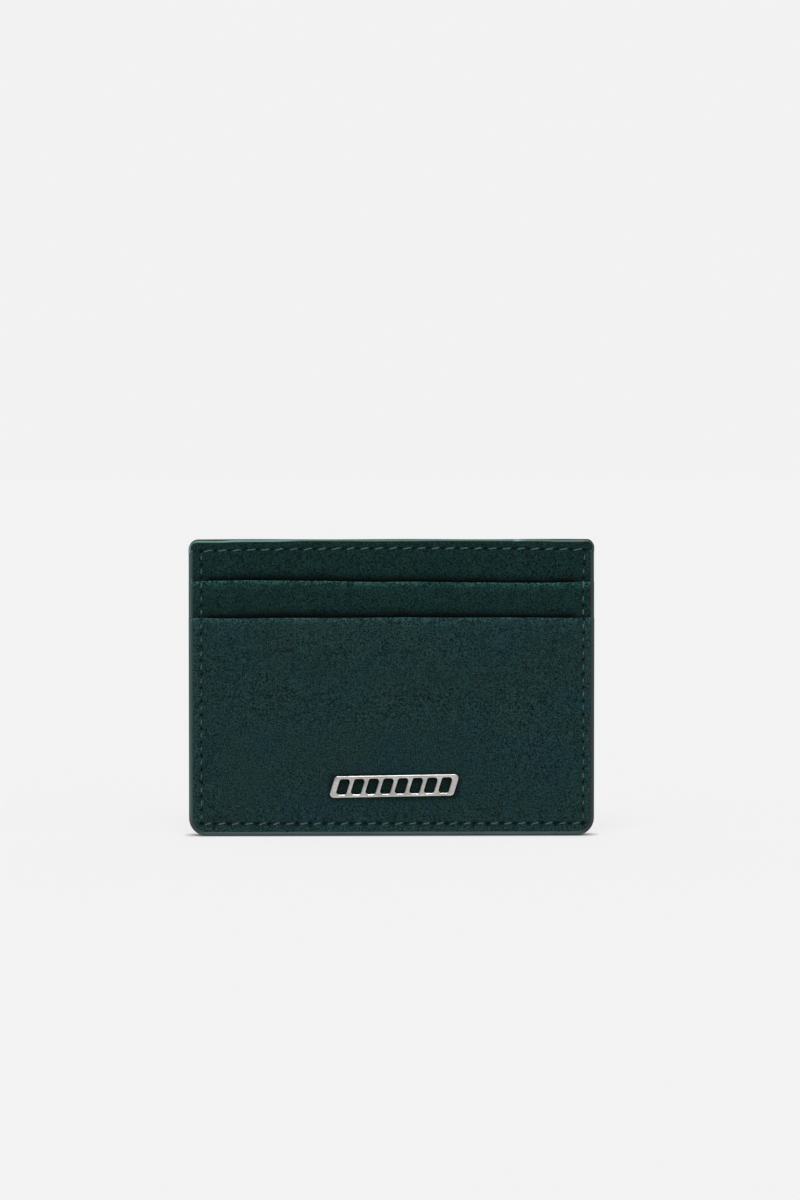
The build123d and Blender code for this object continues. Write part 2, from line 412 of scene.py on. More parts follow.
class Shader:
    """A small helper that builds one node material."""

    def __init__(self, name):
        self.material = bpy.data.materials.new(name)
        self.material.use_nodes = True
        self.nodes = self.material.node_tree.nodes
        self.links = self.material.node_tree.links
        self.surface = self.nodes["Principled BSDF"]
        self.place = self.nodes.new("ShaderNodeTexCoord").outputs["Object"]

    def set(self, **values):
        """Sets sockets of the surface that are the same all over it."""
        for name, value in values.items():
            self.surface.inputs[name.replace("_", " ")].default_value = value

    def join(self, output, name):
        self.links.new(output, self.surface.inputs[name])

    def feed(self, value, socket):
        """Joins an output to a socket, or sets the socket to a colour or a number."""
        if isinstance(value, bpy.types.NodeSocket):
            self.links.new(value, socket)
        elif isinstance(value, tuple):
            socket.default_value = (*value, 1)
        else:
            socket.default_value = value

    def stretch(self, scale):
        """The object's coordinates, stretched along each axis."""
        node = self.nodes.new("ShaderNodeVectorMath")
        node.operation = "MULTIPLY"
        self.links.new(self.place, node.inputs[0])
        node.inputs[1].default_value = scale
        return node.outputs[0]

    def noise(self, size, detail=2.0, roughness=0.5, place=None):
        """A noise whose blotches are about size metres across."""
        node = self.nodes.new("ShaderNodeTexNoise")
        self.links.new(place or self.place, node.inputs["Vector"])
        node.inputs["Scale"].default_value = 1 / size
        node.inputs["Detail"].default_value = detail
        node.inputs["Roughness"].default_value = roughness
        return node.outputs["Fac"]

    def ramp(self, value, *stops):
        """Maps a value through colours given as (place, colour)."""
        node = self.nodes.new("ShaderNodeValToRGB")
        self.links.new(value, node.inputs["Fac"])
        elements = node.color_ramp.elements
        while len(elements) < len(stops):
            elements.new(0.5)
        for element, (at, colour) in zip(elements, stops):
            element.position = at
            element.color = (*colour, 1)
        return node.outputs["Color"]

    def mix(self, share, first, second, blend="MIX"):
        """Mixes two colours; each is an output or a colour."""
        node = self.nodes.new("ShaderNodeMix")
        node.data_type = "RGBA"
        node.blend_type = blend
        self.feed(share, node.inputs[0])
        self.feed(first, node.inputs[6])
        self.feed(second, node.inputs[7])
        return node.outputs[2]

    def sum(self, *terms):
        """Adds up outputs, each with its weight."""
        total = None
        for output, weight in terms:
            node = self.nodes.new("ShaderNodeMath")
            node.operation = "MULTIPLY_ADD"
            self.links.new(output, node.inputs[0])
            node.inputs[1].default_value = weight
            node.inputs[2].default_value = 0.0
            if total is not None:
                self.links.new(total, node.inputs[2])
            total = node.outputs[0]
        return total

    def math(self, operation, *values):
        """A Math node; each value is an output or a number."""
        node = self.nodes.new("ShaderNodeMath")
        node.operation = operation
        for value, socket in zip(values, node.inputs):
            self.feed(value, socket)
        return node.outputs[0]

    def stored(self, name):
        """The first two channels of a colour stored on the mesh."""
        colour = self.nodes.new("ShaderNodeVertexColor")
        colour.layer_name = name
        split = self.nodes.new("ShaderNodeSeparateColor")
        self.links.new(colour.outputs["Color"], split.inputs[0])
        return split.outputs[0], split.outputs[1]

    def bump(self, height, distance):
        """Raises the surface by height times distance metres."""
        node = self.nodes.new("ShaderNodeBump")
        node.inputs["Distance"].default_value = distance
        self.links.new(height, node.inputs["Height"])
        self.join(node.outputs["Normal"], "Normal")


def grey(level):
    return (level, level, level)


def suede(name, deep, light, cool, warm):
    """Brushed suede: a short nap in tufts, cloudy colour, and the painted light and shade stored on the
    mesh, with a frayed painted highlight along each lip.
    """
    s = Shader(name)
    cloud = s.noise(15 * MM, 3, 0.55)
    patch = s.noise(4 * MM, 2, 0.5)
    clump = s.noise(1.8 * MM, 3, 0.6)
    tuft = s.noise(0.55 * MM, 2, 0.7)
    fibre = s.noise(0.26 * MM, 2, 0.7)
    hue = s.ramp(s.sum((cloud, 0.6), (patch, 0.4)), (0.43, cool), (0.57, warm))
    pile = s.sum((clump, 0.08), (tuft, 0.26), (fibre, 0.66))
    nap = s.ramp(pile, (0.41, deep), (0.59, light))
    # The stored tone is painted light and shade: a highlight at the edge and along the lips, shade over
    # the slots, in the needle holes and round the emblem. The second channel is the lip's painted
    # highlight, frayed into strands.
    painted_light, stored_lip_highlight = s.stored("nap")
    spread = s.ramp(s.sum((clump, 0.4), (tuft, 0.6)), (0.42, grey(0.08)), (0.60, grey(1.0)))
    strands = s.math("MULTIPLY_ADD", stored_lip_highlight, spread, 1.0)
    tone = s.mix(1.0, nap, hue, "MULTIPLY")
    tone = s.mix(1.0, tone, s.math("MULTIPLY", painted_light, strands), "MULTIPLY")
    s.join(tone, "Base Color")
    s.join(s.ramp(fibre, (0.3, grey(0.85)), (0.7, grey(1.0))), "Roughness")
    s.set(Sheen_Weight=0.07, Sheen_Roughness=0.5, Sheen_Tint=(0.45, 0.75, 0.68, 1))
    s.set(Specular_IOR_Level=0.08)
    s.bump(pile, 0.5 * MM)
    return s.material


def woven(name, warp, weft, pitch):
    """Fine lining cloth: threads one way over threads the other way, in a twill."""
    s = Shader(name)
    waves = []
    for turn in (1.0, -1.0):
        node = s.nodes.new("ShaderNodeTexWave")
        node.bands_direction = "DIAGONAL"
        node.inputs["Scale"].default_value = 1 / (3.2 * pitch)
        s.links.new(s.stretch((1, 1, turn)), node.inputs["Vector"])
        waves.append(node.outputs["Fac"])
    slub = s.noise(0.6 * MM, 2)
    weave = s.sum((waves[0], 0.6), (waves[1], 0.25), (slub, 0.3))
    s.join(s.ramp(weave, (0.3, warp), (0.85, weft)), "Base Color")
    s.join(s.ramp(slub, (0.3, grey(0.7)), (0.7, grey(0.9))), "Roughness")
    s.set(Sheen_Weight=0.2, Specular_IOR_Level=0.25)
    s.bump(weave, 0.06 * MM)
    return s.material


def stranded(name, dark, light):
    """Sewing thread: filaments along a twist, with a soft sheen."""
    s = Shader(name)
    filament = s.noise(0.09 * MM, 2, 0.6)
    batch = s.noise(4 * MM, 2)
    tone = s.ramp(s.sum((filament, 0.6), (batch, 0.4)), (0.35, dark), (0.65, light))
    s.join(tone, "Base Color")
    s.join(s.ramp(filament, (0.3, grey(0.42)), (0.7, grey(0.62))), "Roughness")
    s.set(Sheen_Weight=0.25, Specular_IOR_Level=0.4)
    s.bump(filament, 0.03 * MM)
    return s.material


def painted_edge(name, base, worn):
    """Edge paint: a rubbery lacquer with faint ripples and worn high spots, darkened and lightened by
    the painted light and shade stored on the mesh.
    """
    s = Shader(name)
    # The stored tone is painted light and shade: a highlight along the crest, a contact shadow at the
    # foot and shade at the right end.
    painted_light, _ = s.stored("nap")
    ripple = s.noise(1.6 * MM, 3, 0.5)
    grain = s.noise(0.25 * MM, 2, 0.6)
    rub = s.noise(9 * MM, 3, 0.6)
    tone = s.ramp(s.sum((rub, 0.6), (grain, 0.4)), (0.38, base), (0.66, worn))
    s.join(s.mix(1.0, tone, painted_light, "MULTIPLY"), "Base Color")
    s.join(s.ramp(grain, (0.3, grey(0.38)), (0.7, grey(0.55))), "Roughness")
    s.set(Specular_IOR_Level=0.4, Coat_Weight=0.1, Coat_Roughness=0.3)
    s.set(Sheen_Weight=0.4, Sheen_Roughness=0.35, Sheen_Tint=(0.5, 1.0, 0.9, 1))
    s.bump(s.sum((ripple, 0.7), (grain, 0.3)), 0.08 * MM)
    return s.material


def satin_metal(name, base, shade):
    """Plated metal with a fine lengthwise brushing and small handling marks."""
    s = Shader(name)
    brushed = s.noise(0.5 * MM, 3, 0.6, s.stretch((0.12, 1, 5)))
    cloud = s.noise(3 * MM, 2)
    s.join(s.ramp(s.sum((brushed, 0.5), (cloud, 0.5)), (0.35, shade), (0.65, base)), "Base Color")
    s.join(s.ramp(brushed, (0.3, grey(0.24)), (0.7, grey(0.38))), "Roughness")
    s.set(Metallic=1.0)
    s.bump(brushed, 0.012 * MM)
    return s.material


def board(name):
    """Bonded leather board: pressed brown fibres."""
    s = Shader(name)
    fibres = s.noise(0.4 * MM, 4, 0.7, s.stretch((1, 1, 0.4)))
    s.join(s.ramp(fibres, (0.3, (0.10, 0.06, 0.035)), (0.7, (0.26, 0.18, 0.11))), "Base Color")
    s.set(Roughness=0.85)
    s.bump(fibres, 0.05 * MM)
    return s.material


SUEDE = suede(
    "suede_pocket",
    deep=(0.001, 0.004, 0.004),
    light=(0.0225, 0.062, 0.064),
    cool=(0.85, 0.98, 1.05),
    warm=(0.99, 1.01, 0.93),
)
SUEDE_TOP = suede(
    "suede_panel",
    deep=(0.0005, 0.003, 0.003),
    light=(0.0125, 0.047, 0.044),
    cool=(0.86, 0.98, 1.02),
    warm=(1.0, 1.02, 0.95),
)
LINING = woven("lining_twill", (0.006, 0.014, 0.013), (0.018, 0.036, 0.033), 0.22 * MM)
THREAD = stranded("thread_green", (0.020, 0.055, 0.050), (0.060, 0.115, 0.105))
PAINT = painted_edge("edge_lacquer", (0.027, 0.053, 0.050), (0.041, 0.078, 0.074))
METAL = satin_metal("satin_nickel", (0.72, 0.70, 0.675), (0.43, 0.415, 0.40))
BOARD = board("bonded_board")


# Sheets: every layer of the front, and its twin on the back


def grid_lines(*runs):
    """Grid lines from runs of (from, to, number of steps), each run starting where one ended."""
    lines = []
    for low, high, steps in runs:
        lines.extend(np.linspace(low, high, steps, endpoint=False))
    lines.append(runs[-1][1])
    return lines


def flat_lip(height):
    return lambda x: np.full(len(x), height)


# The mouths' slow curves: the height, middle and reach of each swelling
UPPER_RISE = (0.42 * MM, -33 * MM, 20 * MM)
UPPER_SAG = (0.24 * MM, 32 * MM, 14 * MM)
LOWER_LIFT = 0.14 * MM
LOWER_RISE = (0.18 * MM, 8 * MM, 34 * MM)
RIPPLE = 0.04 * MM
# The panels' top edges: how far both stand up, and where and how far the front one droops
TOP_LIFT = 0.1 * MM
DROOP = (-29 * MM, -21 * MM)
DROOP_DEPTH = 0.15 * MM
END_DROOP = (-43 * MM, -38 * MM)
RIGHT_DROOP = (36 * MM, 42 * MM)
END_DROOP_DEPTH = 0.2 * MM


def swelling(x, height, middle, reach):
    return height * bell(x, middle, reach)


def upper_lip(x):
    """The upper mouth rises a little towards the left and sags a little towards the right."""
    slope = swelling(x, *UPPER_RISE) - swelling(x, *UPPER_SAG)
    return upper_mouth + slope + RIPPLE * np.sin(x * 290)


def lower_lip(x):
    """The lower mouth is nearly straight and rises a little in the middle."""
    rise = LOWER_LIFT + swelling(x, *LOWER_RISE)
    return lower_mouth + rise + RIPPLE * np.sin(x * 230 + 1)


def top_lip(side):
    """The panels' top edges: the front one droops at its left end, and a little at its right."""

    def height(x):
        level = sheet_top + TOP_LIFT + RIPPLE * np.sin(x * 170 + side)
        if side > 0:
            return level
        left = DROOP_DEPTH * (1 - smooth(*DROOP, x)) + END_DROOP_DEPTH * (1 - smooth(*END_DROOP, x))
        return level - left - END_DROOP_DEPTH * smooth(*RIGHT_DROOP, x)

    return height


# The grid's columns: the fine bands at the rim, and the extra lines on both sides of a seam
LEFT_BAND = 0.8 * MM
RIGHT_BAND = 0.6 * MM
BESIDE_SEAM = 0.2 * MM


def columns_at(pitch_count):
    """Grid columns whose lines pass through a horizontal seam's needle holes."""
    lines = grid_lines(
        (-sheet_half, -sheet_half + LEFT_BAND, 4),
        (-sheet_half + LEFT_BAND, SEAM_LEFT, 5),
        (SEAM_LEFT, SEAM_RIGHT, pitch_count * STEPS),
        (SEAM_RIGHT, sheet_half - RIGHT_BAND, 5),
        (sheet_half - RIGHT_BAND, sheet_half, 4),
    )
    return sorted(lines + [x + d * BESIDE_SEAM for x in (SEAM_LEFT, SEAM_RIGHT) for d in (-1, 1)])


def with_fine_rows(rows, mouth):
    """Adds closer rows where a layer disappears into the slot behind the next one's mouth."""
    fine = [mouth + h * MM for h in (-0.55, -0.3, -0.1, 0.1, 0.3, 0.5, 0.75)]
    least_gap = 0.06 * MM
    kept = [z for z in rows if min(abs(z - f) for f in fine) > least_gap]
    return sorted(kept + fine)


def rows_between(low, high):
    """Grid rows strictly between two heights, closer together at the side seams' holes."""
    rows = [SEAM_BOTTOM + (i + s) * side_pitch for i in range(SIDE_STITCHES) for s in ROW_SHARES]
    return [z for z in rows if low < z < high]


emblem_low, emblem_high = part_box("emblem")
EMBLEM_SHADE = 0.5
EMBLEM_SHADE_INSET = 0.3 * MM
EMBLEM_SHADE_ENDS = (-0.2 * MM, 0.9 * MM)


def emblem_shade(x, z):
    """Where the emblem crushes and shades the nap: 1 under it, fading out around it."""
    middle = (emblem_low + emblem_high) / 2
    half = (emblem_high - emblem_low) / 2
    above = np.abs(z - middle.z) - half.z + EMBLEM_SHADE_INSET
    away = np.maximum(np.abs(x - middle.x) - half.x, above)
    return 1 - smooth(*EMBLEM_SHADE_ENDS, away)


def own(piece, slot, *nodes):
    """The piece stands for CAD nodes and rides with them; slot is not used."""
    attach(piece, "root")
    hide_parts(*nodes)


def link_sheet(name, columns, rows, shape, lip, side, material, slot, **options):
    grid = sheet_grid(columns, rows, shape.inner, shape.outer, lip, side, **options)
    piece = link(name + "_shaped", *grid, material)
    own(piece, slot, name)
    return piece


def store(piece, tone, frayed_highlight):
    """Stores a piece's tone, which carries its painted light and shade, and the painted highlight
    frayed along its lip, point by point, for its material.
    """
    attribute = piece.data.color_attributes.new("nap", "FLOAT_COLOR", "POINT")
    colours = np.stack([tone, frayed_highlight, 0 * tone, 0 * tone + 1], axis=-1)
    attribute.data.foreach_set("color", colours.ravel())


# The painted highlight on the rolled lips: how much paler they are and how far that fades, and the
# frayed strip of highlight right at the lip: its reach and its strength on the upper and lower pockets
LIP_HIGHLIGHT = 0.25
LIP_HIGHLIGHT_REACH = 2.5 * MM
FRAYED_HIGHLIGHT_REACH = 0.55 * MM
UPPER_FRAYED_HIGHLIGHT = 3.7
LOWER_FRAYED_HIGHLIGHT = 1.3


def paint_light_on_nap(piece, lip=None, below=None, frayed_highlight=0.0):
    """Stores a suede piece's nap tone with its painted light and shade; the last argument is how much
    paler the frayed painted highlight at its lip is.
    """
    spots = np.array([v.co for v in piece.data.vertices])
    x, z = spots[:, 0], spots[:, 2]
    tone = nap_light_and_shade(x, z, below)
    painted_light = 0 * tone
    # A painted highlight along the rolled lip: a frayed strip right at the lip and a softer glow fading
    # away from it
    if lip is not None:
        painted_light = frayed_highlight * np.exp(-np.abs(lip(x) - z) / FRAYED_HIGHLIGHT_REACH)
        tone = tone * (1 + LIP_HIGHLIGHT * np.exp(-np.abs(lip(x) - z) / LIP_HIGHLIGHT_REACH))
    # Painted shade and crushed nap round the emblem
    if piece.name.startswith("front_lower_pocket"):
        tone = tone * (1 - EMBLEM_SHADE * emblem_shade(x, z))
    store(piece, tone, painted_light)


LOWER_CROWN = 0.42 * MM
UPPER_CROWN = 0.2 * MM
FLARE = 0.3 * MM
# Above these heights a layer shows, and its rows are fine
PANEL_SHOWS = 58 * MM
UPPER_SHOWS = 49 * MM
# The least gaps between one run of rows and the next
SHOWN_GAP = 0.1 * MM
ROW_GAP = 0.2 * MM


def rows_from_bottom(*runs):
    """Grid rows that follow the rounded corners first, and then the given runs."""
    return grid_lines((coat, coat + bottom_radius, 6), *runs)


def rows_to_lip(low, mouth):
    """Grid rows of a pocket's shown part, up to where its lip starts to roll."""
    return rows_between(low, mouth - LIP_HEIGHT - ROW_GAP) + [mouth - LIP_HEIGHT]


straight = sheet_half - bottom_radius
plain_columns = grid_lines(
    (-sheet_half, -straight, 6), (-straight, straight, 46), (straight, sheet_half, 6)
)
panel_columns, pocket_columns = columns_at(TOP_STITCHES), columns_at(BOTTOM_STITCHES)

below_top = top_z - 3 * MM
flat_rows = rows_from_bottom((coat + bottom_radius, below_top, 24), (below_top, sheet_top, 5))
lining_rows = rows_from_bottom(
    (coat + bottom_radius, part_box("front_lower_pocket_lining")[1].z, 20)
)
panel_rows = rows_from_bottom((coat + bottom_radius, PANEL_SHOWS, 12))
panel_rows += rows_between(PANEL_SHOWS + SHOWN_GAP, SEAM_TOP - GROOVE_OVERRUN)
panel_rows += [SEAM_TOP + h * MM for h in (0, 0.18, 0.37, 0.55, 0.75, 1.0, 1.3)]
panel_rows = with_fine_rows(panel_rows, upper_mouth)
upper_rows = rows_from_bottom((coat + bottom_radius, UPPER_SHOWS, 10))
upper_rows += rows_to_lip(UPPER_SHOWS + SHOWN_GAP, upper_mouth)
upper_rows = with_fine_rows(upper_rows, lower_mouth)
lower_rows = [coat + h * MM for h in (0, 0.2, 0.5, 0.9, 1.4, 1.9)]
lower_rows += [SEAM_BOTTOM + h * BESIDE_SEAM for h in (-1, 0, 1)]
lower_rows += rows_to_lip(SEAM_BOTTOM + GROOVE_OVERRUN, lower_mouth)

shapes = {}
for side, word in ((-1, "front"), (1, "back")):
    for part, material, slot in (("lining", LINING, "lining"), ("stiffener", BOARD, "board")):
        link_sheet(
            f"{word}_{part}", plain_columns, flat_rows, Layer(f"front_{part}"), top_lip(side),
            side, material, slot, rounded_top=True, soft_lip=False,
        )
    shape = Layer("front_lower_pocket_lining", LOWER_CROWN, lip=lower_lip, flare=FLARE)
    link_sheet(
        f"{word}_lower_pocket_lining", plain_columns, lining_rows, shape,
        flat_lip(lining_rows[-1]), side, LINING, "lining", soft_lip=False,
    )
    panel = Layer("front_panel", 0.0, "panel", 1.0 + side)
    upper = Layer("front_upper_pocket", UPPER_CROWN, "pocket", 3.0 + side, upper_lip, FLARE)
    lower = Layer("front_lower_pocket", LOWER_CROWN, "pocket", 5.0 + side, lower_lip, FLARE)
    shapes[side] = (panel, upper, lower)
    piece = link_sheet(
        f"{word}_panel", panel_columns, panel_rows, panel, top_lip(side),
        side, SUEDE_TOP, "suede", rounded_top=True,
    )
    paint_light_on_nap(piece, below=upper_lip)
    piece = link_sheet(
        f"{word}_upper_pocket", pocket_columns, upper_rows, upper, upper_lip,
        side, SUEDE_TOP, "suede",
    )
    paint_light_on_nap(piece, upper_lip, lower_lip, UPPER_FRAYED_HIGHLIGHT)
    piece = link_sheet(
        f"{word}_lower_pocket", pocket_columns, lower_rows, lower, lower_lip,
        side, SUEDE, "suede",
    )
    paint_light_on_nap(piece, lower_lip, frayed_highlight=LOWER_FRAYED_HIGHLIGHT)


# Seam margins: strips pressed between the layers


MARGIN = 4 * MM
MARGIN_FLOOR = 3.9 * MM
STOP = (9.6 * MM, 12.6 * MM)
STRIP_GAP = 0.2 * MM
STRIP_STEP = 2 * MM


def step_count(low, high, least):
    """How many grid steps a strip has along one direction."""
    return max(least, int((high - low) / STRIP_STEP))


def strip(left, right, low, high, shape, side, rounded_top=False):
    """One margin strip, from its sides and heights on the face."""
    columns = grid_lines((left, right, step_count(left, right, 2)))
    rows = grid_lines((low, high, step_count(low, high, 4)))
    return sheet_grid(
        columns, rows, shape.inner, shape.outer, flat_lip(high), side,
        rounded_top=rounded_top, soft_lip=False,
    )


def margins(name, source, side, height, stop=False, rounded_top=False):
    """The margin strips of one opening, as one piece."""
    shape = Layer(source)
    inside = sheet_half - MARGIN
    foot = MARGIN_FLOOR + STRIP_GAP
    parts = [
        strip(-sheet_half, -inside, foot, height, shape, side, rounded_top),
        strip(inside, sheet_half, foot, height, shape, side, rounded_top),
        strip(-sheet_half, sheet_half, coat, MARGIN_FLOOR, shape, side),
    ]
    if stop:
        parts.append(strip(-inside + STRIP_GAP, inside - STRIP_GAP, *STOP, shape, side))
    piece = link(name + "_shaped", *merge(parts), SUEDE_TOP)
    own(piece, "suede", name)
    paint_light_on_nap(piece)


for side, word in ((-1, "front"), (1, "back")):
    for part, stop in (("upper", True), ("lower", False)):
        source = f"front_{part}_slot_margin"
        margins(f"{word}_{part}_slot_margin", source, side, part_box(source)[1].z, stop=stop)
margins("centre_margin", "centre_margin", -1, sheet_top, rounded_top=True)


# Stitches


def face_at(side, x, z):
    """How far the outermost face of the front or back is from the middle at a point."""
    x, z = np.array([x]), np.array([z])
    panel, upper, lower = shapes[side]
    if z[0] < lower_lip(x)[0]:
        return lower.outer(x, z)[0]
    if z[0] < upper_lip(x)[0]:
        return upper.outer(x, z)[0]
    return panel.outer(x, z)[0]


# Each row's thread: how far it stands out, leans and is drawn in at its ends, and its radius
BOTTOM_THREAD = (0.12 * MM, 0.26 * MM, 0.62 * MM, 0.16 * MM)
TOP_THREAD = (0.12 * MM, 0.24 * MM, 0.45 * MM, 0.15 * MM)
SIDE_THREAD = (0.07 * MM, -0.05 * MM, 0.95 * MM, 0.13 * MM)
# Every stitch: how deep its ends dive, the points round it and the rings along it
THREAD_DIVE = 0.55 * MM
SECTION = 12
RINGS = 15
# Its three plies and their twist, how flat it is, and how far it is sunk as a share of its radius
PLY_DEPTH = 0.16
PLY_TWIST = 2.2 * pi
FLATNESS = 0.85
SINK = 0.6


def stitch(start, end, side, height, lean, inset, radius):
    """One stitch of three-ply thread, out of one needle hole and into the next."""
    (ax, az), (bx, bz) = start, end
    length = hypot(bx - ax, bz - az)
    ux, uz = (bx - ax) / length, (bz - az) / length
    a = Vector((ax + ux * inset + uz * lean, 0, az + uz * inset - ux * lean))
    b = Vector((bx - ux * inset - uz * lean, 0, bz - uz * inset + ux * lean))
    middle = (a + b) / 2
    level = max(face_at(side, p.x, p.z) for p in (a, middle, b))
    across = Vector((-uz, 0, ux))
    path = []
    for i in range(RINGS):
        t = i / (RINGS - 1)
        point = a.lerp(b, t)
        point.y = level + height - radius * SINK - (height + THREAD_DIVE) * abs(2 * t - 1) ** 5
        path.append(point)
    rings = []
    for i, point in enumerate(path):
        along = (path[min(i + 1, RINGS - 1)] - path[max(i - 1, 0)]).normalized()
        out = along.cross(across).normalized()
        if out.y < 0:
            out = -out
        ring = []
        for j in range(SECTION):
            angle = tau * j / SECTION
            ply = 1 + PLY_DEPTH * cos(3 * (angle - PLY_TWIST * i / (RINGS - 1)))
            spot = point + radius * ply * (cos(angle) * across + sin(angle) * FLATNESS * out)
            x, z = to_outline(spot.x, spot.z, False)
            ring.append((float(x), side * spot.y, float(z)))
        rings.append(ring)
    return swept(rings)


# A stitch that climbs over a mouth stands out further and is fuller
CLIMB_LIFT = 0.1 * MM
CLIMB_GIRTH = 1.3


def row_of_stitches(holes, side, height, lean, inset, radius):
    """The stitches between a row of needle holes, each a little unlike the next."""
    parts = []
    for start, end in zip(holes, holes[1:]):
        lift = height * rng.uniform(0.7, 1.3)
        tilt = lean * rng.uniform(0.7, 1.3)
        reach = inset * rng.uniform(0.8, 1.25)
        girth = radius * rng.uniform(0.9, 1.1)
        if start[1] < upper_mouth < end[1] or start[1] < lower_mouth < end[1]:
            lift, girth = lift + CLIMB_LIFT, girth * CLIMB_GIRTH
        parts.append(stitch(start, end, side, lift, tilt, reach, girth))
    return parts


def add_thread(name, parts, node):
    own(link(name, *merge(parts), THREAD), "thread", node)


def recolour(node, material):
    """Gives a CAD node that keeps its shape its material."""
    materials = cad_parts[node].data.materials
    materials.clear()
    materials.append(material)


for side, node in ((-1, "perimeter_needle_thread"), (1, "perimeter_bobbin_thread")):
    parts = row_of_stitches(left_holes, side, *SIDE_THREAD)
    parts += row_of_stitches(right_holes, side, *SIDE_THREAD)
    parts += row_of_stitches(bottom_holes, side, *BOTTOM_THREAD)
    add_thread(node.replace("thread", "stitches"), parts, node)
for side, word in ((-1, "front"), (1, "back")):
    parts = row_of_stitches(top_holes, side, *TOP_THREAD)
    add_thread(f"{word}_top_needle_stitches", parts, f"{word}_top_needle_thread")
for word in ("front", "back"):
    recolour(f"{word}_top_bobbin_thread", THREAD)
    recolour(f"{word}_stop_seam_thread", THREAD)


# Edge paint: a bead of lacquer over the cut edges of the stack

WRAP = 0.8 * MM
BEAD = 0.2 * MM
MOUTH_STEP = 0.02 * MM
# How far in from the faces the bead's crest starts, and the lines where two layers meet in it
SHOULDER = 0.16 * MM
LAYER_LINE_DEPTH = 0.07 * MM
LAYER_LINE_WIDTH = 0.10 * MM
# The paint's tone: on its inner side, and its painted highlight along its crest and painted shade at
# the right
PAINT_TONE = 0.45
CREST_HIGHLIGHT = 0.95
CREST_HIGHLIGHT_WIDTH = 0.2 * MM
RIGHT_PAINT_SHADE = 0.65
# A top bead's tone on its inner side, which is painted shade, and its painted highlight on its outer
# side and at the left
TOP_TONE = 0.55
TOP_OUTER_HIGHLIGHT = 1.1
TOP_OUTER_HIGHLIGHT_ENDS = (0.38 * MM, 0.6 * MM)
TOP_LEFT_HIGHLIGHT = 0.8
# Where a top bead is paler at a nick
NICK = 31.2 * MM
NICK_WIDTH = 0.8 * MM
NICK_TONE = 1.8


def around(top):
    """Points down the left side, along the bottom and up the right side, with outward normals."""
    corner = sheet_half - bottom_radius
    heights = []
    for mouth in (upper_mouth, lower_mouth):
        heights += [*np.linspace(top, mouth + MM, 8), mouth + MOUTH_STEP, mouth - MOUTH_STEP]
        top = mouth - MM
    heights += [*np.linspace(top, coat + bottom_radius, 26)]
    points = [(-sheet_half, z, -1.0, 0.0) for z in heights]
    for i in range(1, 12):
        nx, nz = -cos(pi / 2 * i / 12), -sin(pi / 2 * i / 12)
        points.append((-corner + bottom_radius * nx, coat + bottom_radius + bottom_radius * nz, nx, nz))
    points += [(x, coat, 0.0, -1.0) for x in np.linspace(-corner, 0, 30)]
    return points + [(-x, z, -nx, nz) for x, z, nx, nz in reversed(points[:-1])]


def side_section(x, z, nx, nz):
    """The bead's section at one point of the outline, from the front face to the back face."""
    section = []
    half = layer_reach(z) * (1 - RIM_PRESS) - EDGE_ROUND
    for side in (-1, 1):
        turned = []
        for share in (1.0, 0.72, 0.42, 0.18):
            inset = share * WRAP
            px, pz = x - nx * inset, z - nz * inset
            distance = np.array([inset])
            pressed = 1 - RIM_PRESS * (1 - smooth(0, RIM_WIDTH, distance)[0])
            rounded = EDGE_ROUND * (1 - smooth(0, EDGE_WIDTH, distance)[0])
            rise = 0.05 * MM * sin(pi * share) + 0.012 * MM
            turned.append((px, layer_reach(z) * pressed - rounded + rise, pz))
        for swell, rise in ((0.10, 0.02), (0.60, -0.06), (0.88, -0.16)):
            swell *= BEAD
            turned.append((x + nx * swell, half + rise * MM, z + nz * swell))
        section.append([(px, side * py, pz) for px, py, pz in turned])
    front, back = section
    across = []
    for t in np.linspace(-1, 1, 23)[1:-1]:
        y = t * (half - SHOULDER)
        swell = BEAD * (1 - 0.12 * abs(t) ** 3)
        lines = (bell(abs(y), edge * (1 - RIM_PRESS), LAYER_LINE_WIDTH) for edge in layer_edges)
        swell -= LAYER_LINE_DEPTH * min(float(sum(lines)), 1.0)
        across.append((x + nx * swell, y, z + nz * swell))
    return front + across + list(reversed(back))


def layer_reach(z):
    """The outermost layer's own outer face at a height of the side."""
    if z < lower_mouth:
        return layer("front_lower_pocket")[1]
    if z < upper_mouth:
        return layer("front_upper_pocket")[1]
    return layer("front_panel")[1]


layer_edges = [
    layer(f"front_{part}")[1]
    for part in ("panel", "upper_slot_margin", "upper_pocket", "lower_slot_margin")
] + [layer("front_lining")[0]]


def add_paint(name, sections, node):
    """Adds a bead with its painted light and shade: a painted highlight along its crest, a painted
    contact shadow where it stands and painted shade at the right end.
    """
    piece = link(name, *swept(sections), PAINT)
    own(piece, "edge_paint", node)
    spots = np.array([v.co for v in piece.data.vertices])
    x, z = spots[:, 0], spots[:, 2]
    inside = np.minimum(half_width - np.abs(x), np.minimum(z - 0.3 * MM, top_z - z))
    # Painted highlight along the crest
    tone = PAINT_TONE + CREST_HIGHLIGHT * (1 - smooth(CREST_HIGHLIGHT_WIDTH, BEAD + WRAP, inside))
    # Painted contact shadow along the foot, and painted shade at the right end
    tone = tone * smooth(0, 0.5 * MM, z) * (1 - RIGHT_PAINT_SHADE * smooth(*RIGHT_SHADE, x))
    if node != "edge_paint":
        tone = tone * top_bead_light(x, np.abs(spots[:, 1]))
    store(piece, tone, 0 * tone)


